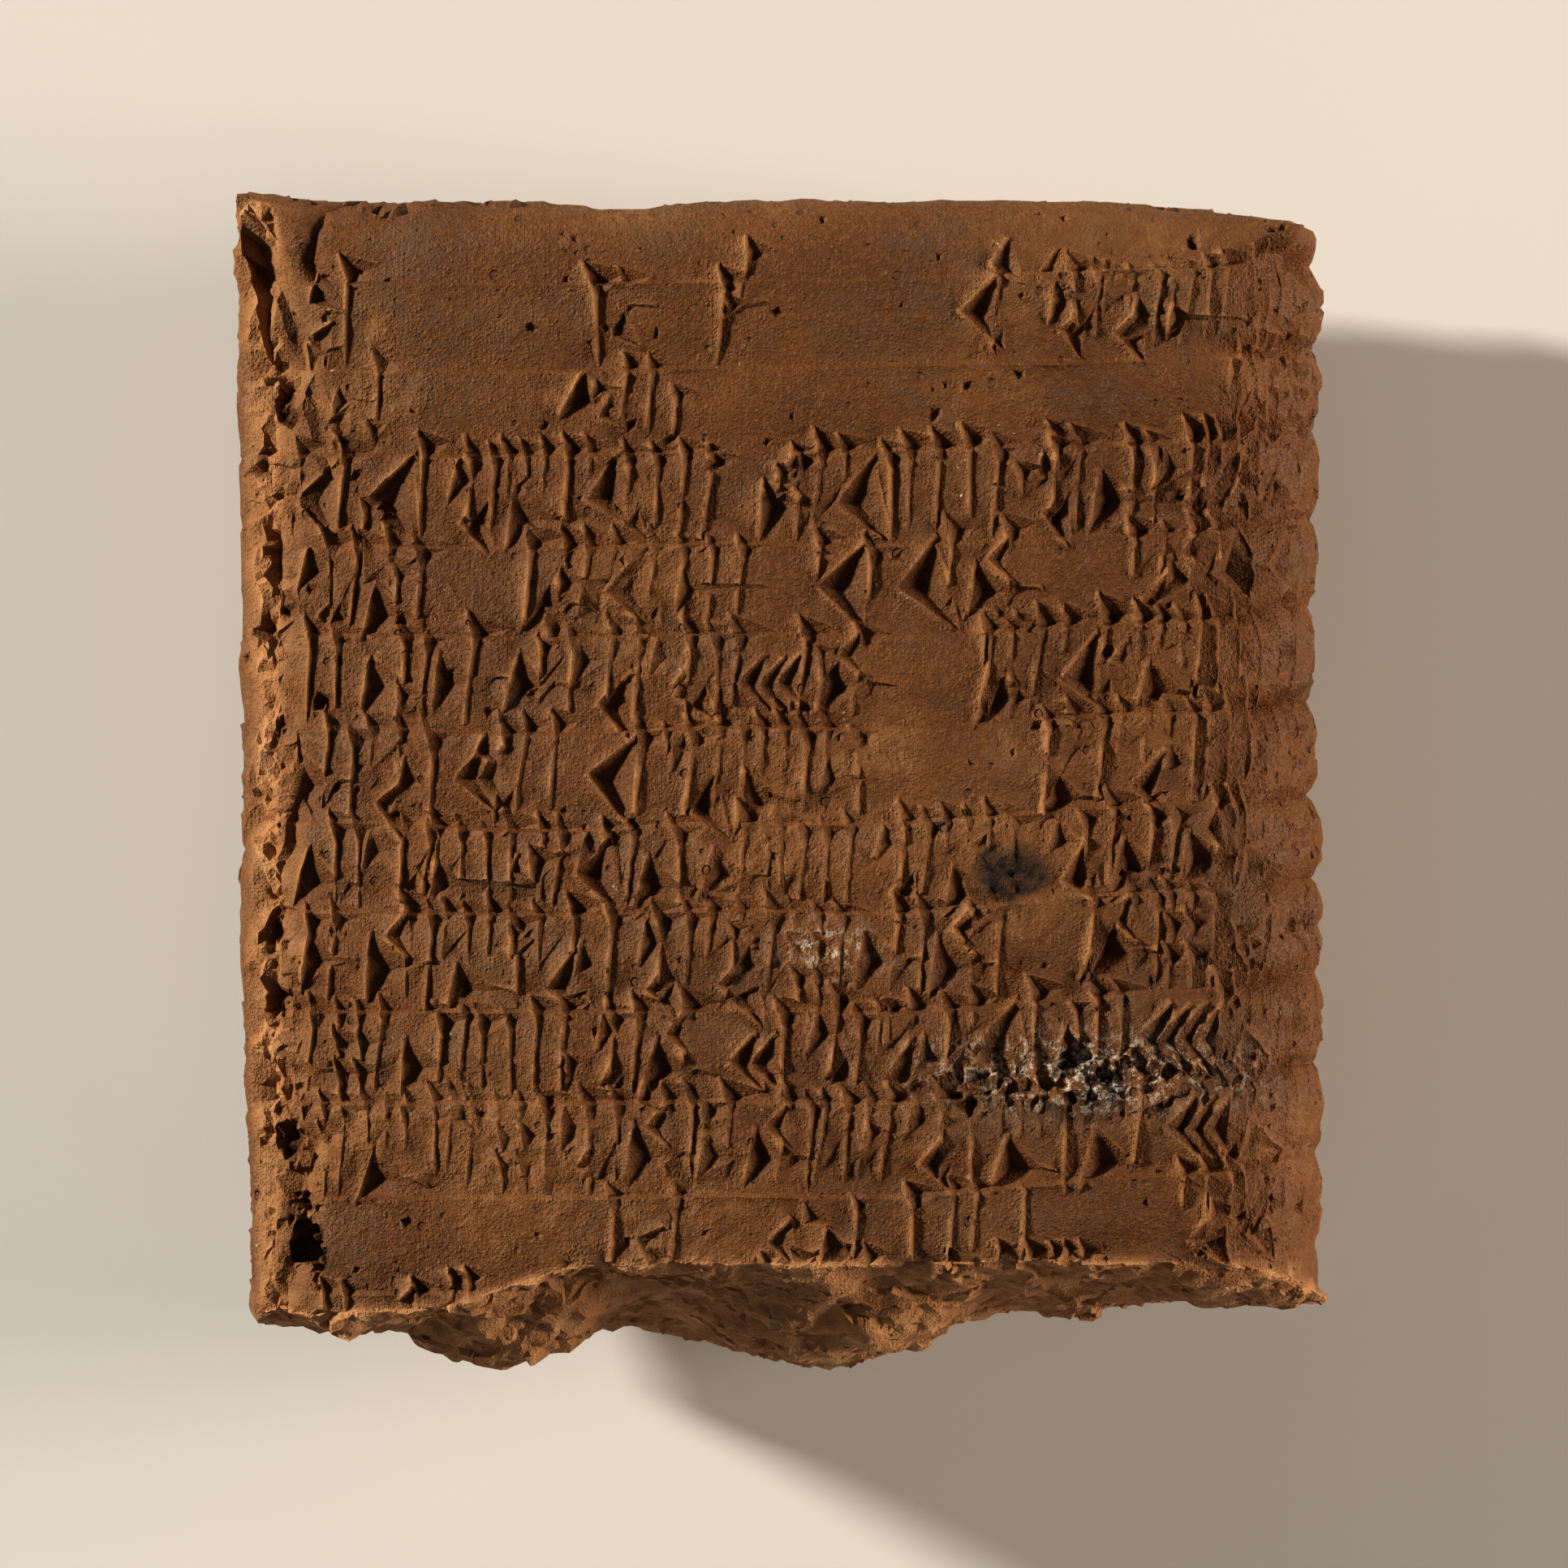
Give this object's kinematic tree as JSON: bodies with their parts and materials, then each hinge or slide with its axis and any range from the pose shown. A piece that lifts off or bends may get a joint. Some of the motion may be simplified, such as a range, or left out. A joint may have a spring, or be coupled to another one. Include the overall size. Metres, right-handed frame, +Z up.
{
  "type": "cuneiform tablet",
  "caption": "Thick cushion-shaped clay tablet, broken across the bottom, with rows of wedge-shaped marks on its faces and edges, lying on its domed back.",
  "frame": {"origin": "bottom centre of the tablet's box, on the ground it lies on", "axes": "+Z up, out of the written front face; +Y towards the unbroken top edge; +X across the writing, towards the rounded right edge"},
  "size_m": [0.079, 0.0862, 0.0377],
  "materials": {
    "clay": "matt, warm brown fired clay with fine grit, grey smudges and pale salt crust"
  },
  "bodies": {
    "root": {"tablet": "clay"}
  },
  "joints": []
}
